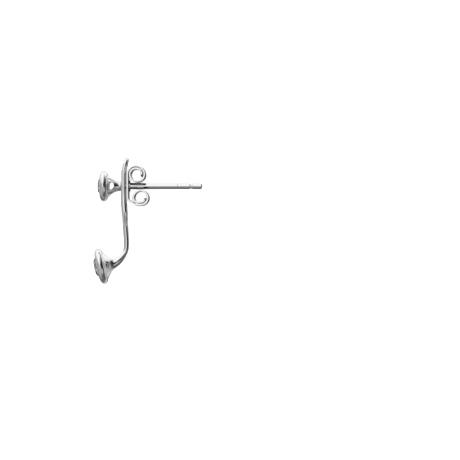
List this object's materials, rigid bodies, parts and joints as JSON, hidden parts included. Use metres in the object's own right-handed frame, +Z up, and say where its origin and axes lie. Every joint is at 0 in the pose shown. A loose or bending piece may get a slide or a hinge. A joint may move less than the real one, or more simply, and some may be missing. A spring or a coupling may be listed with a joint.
{
  "type": "ear jacket earring",
  "caption": "Polished post earring with a round stone, a bar-shaped ear jacket that hooks forward to a second stone, and a scroll clutch.",
  "frame": {"origin": "on the surface that the earring lies on, below the middle of its box", "axes": "+X along the ear post towards its tip, +Y towards the top end of the jacket's tab, +Z up from the surface"},
  "size_m": [0.0134, 0.0156, 0.0044],
  "materials": {
    "stud_silver": "rhodium-bright silver, high polish with fine handling marks",
    "jacket_silver": "rhodium-bright silver, high polish with fine handling marks",
    "clutch_silver": "rolled silver strip, bright polish",
    "stone": "clear colourless round brilliant, polished facets"
  },
  "bodies": {
    "stud_body": {"stud": "stud_silver", "stud_stone": "stone"},
    "jacket_body": {"jacket": "jacket_silver", "jacket_stone": "stone"},
    "clutch_body": {"clutch": "clutch_silver"}
  },
  "joints": [
    {"name": "jacket_swing", "type": "hinge", "parent": "stud_body", "child": "jacket_body", "pos_m": [-0.003, 0.00428, 0.0019], "axis": [1, 0, 0], "range_deg": [-30, 30]},
    {"name": "clutch_slide", "type": "slide", "parent": "stud_body", "child": "clutch_body", "axis": [1, 0, 0], "range_m": [0, 0.0095]}
  ]
}
